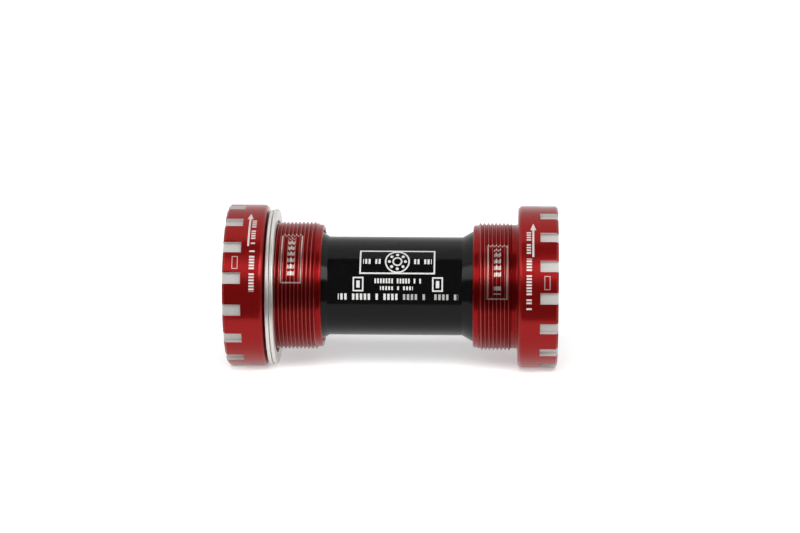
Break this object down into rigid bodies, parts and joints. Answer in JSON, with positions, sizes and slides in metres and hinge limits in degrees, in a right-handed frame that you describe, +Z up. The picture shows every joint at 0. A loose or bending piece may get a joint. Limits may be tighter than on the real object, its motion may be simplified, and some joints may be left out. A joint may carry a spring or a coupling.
{
  "type": "bottom bracket",
  "caption": "External-cup bicycle bottom bracket: red threaded cups with notched flanges and sealed bearings, joined by a black centre sleeve, with loose spacer rings.",
  "frame": {"origin": "on the spindle axis, midway between the two cups", "axes": "+X along the spindle axis towards the non-drive side; the drive side, with the left-hand thread, is at -X; +Z up as the object lies on its flanges"},
  "size_m": [0.0892, 0.044, 0.044],
  "materials": {
    "anodised_red": "bright red anodised over fine turning marks, bare silver in the milled notches",
    "sleeve_black": "glossy moulded black with white print",
    "spacer_alloy": "clear anodised, turned faces",
    "seal_rubber": "smooth black nitrile rubber",
    "bearing_steel": "ground bearing steel",
    "ball_steel": "polished steel balls",
    "cage_nylon": "natural nylon",
    "bush_nylon": "fine matte moulded black nylon"
  },
  "bodies": {
    "drive_cup": {"drive_side_cup": "anodised_red", "drive_side_bearing_outer_race": "bearing_steel", "drive_side_bearing_outboard_seal": "seal_rubber", "drive_side_bearing_inboard_seal": "seal_rubber"},
    "sleeve_with_o_rings": {"centre_sleeve": "sleeve_black", "drive_side_sleeve_o_ring": "seal_rubber", "non_drive_side_sleeve_o_ring": "seal_rubber"},
    "non_drive_cup": {"non_drive_side_cup": "anodised_red", "non_drive_side_bearing_outer_race": "bearing_steel", "non_drive_side_bearing_outboard_seal": "seal_rubber", "non_drive_side_bearing_inboard_seal": "seal_rubber"},
    "drive_spindle_seat": {"drive_side_bearing_inner_race": "bearing_steel", "drive_side_spindle_bush": "bush_nylon"},
    "drive_ball_set": {"drive_side_bearing_balls": "ball_steel", "drive_side_bearing_cage": "cage_nylon"},
    "non_drive_spindle_seat": {"non_drive_side_bearing_inner_race": "bearing_steel", "non_drive_side_spindle_bush": "bush_nylon"},
    "non_drive_ball_set": {"non_drive_side_bearing_balls": "ball_steel", "non_drive_side_bearing_cage": "cage_nylon"},
    "outer_spacer": {"outer_shell_spacer": "spacer_alloy"},
    "inner_spacer": {"inner_shell_spacer": "spacer_alloy"}
  },
  "joints": [
    {"name": "non_drive_cup_slide", "type": "slide", "parent": "drive_cup", "child": "non_drive_cup", "axis": [1, 0, 0], "range_m": [0, 0.005]},
    {"name": "centre_sleeve_slide", "type": "slide", "parent": "drive_cup", "child": "sleeve_with_o_rings", "axis": [1, 0, 0], "range_m": [-0.0015, 0.005]},
    {"name": "drive_seat_spin", "type": "hinge", "parent": "drive_cup", "child": "drive_spindle_seat", "pos_m": [-0.0402, 0, 0], "axis": [1, 0, 0], "continuous": true},
    {"name": "drive_balls_spin", "type": "hinge", "parent": "drive_cup", "child": "drive_ball_set", "pos_m": [-0.0402, 0, 0], "axis": [1, 0, 0], "continuous": true},
    {"name": "non_drive_seat_spin", "type": "hinge", "parent": "non_drive_cup", "child": "non_drive_spindle_seat", "pos_m": [0.0402, 0, 0], "axis": [1, 0, 0], "continuous": true},
    {"name": "non_drive_balls_spin", "type": "hinge", "parent": "non_drive_cup", "child": "non_drive_ball_set", "pos_m": [0.0402, 0, 0], "axis": [1, 0, 0], "continuous": true},
    {"name": "outer_spacer_slide", "type": "slide", "parent": "drive_cup", "child": "outer_spacer", "axis": [1, 0, 0], "range_m": [-0.00045, 0.0059]},
    {"name": "inner_spacer_slide", "type": "slide", "parent": "outer_spacer", "child": "inner_spacer", "axis": [1, 0, 0], "range_m": [0, 0.0065]}
  ],
  "couplings": [
    {"joint": "drive_balls_spin", "follows": "drive_seat_spin", "ratio": 0.4435},
    {"joint": "non_drive_balls_spin", "follows": "non_drive_seat_spin", "ratio": 0.4435}
  ]
}
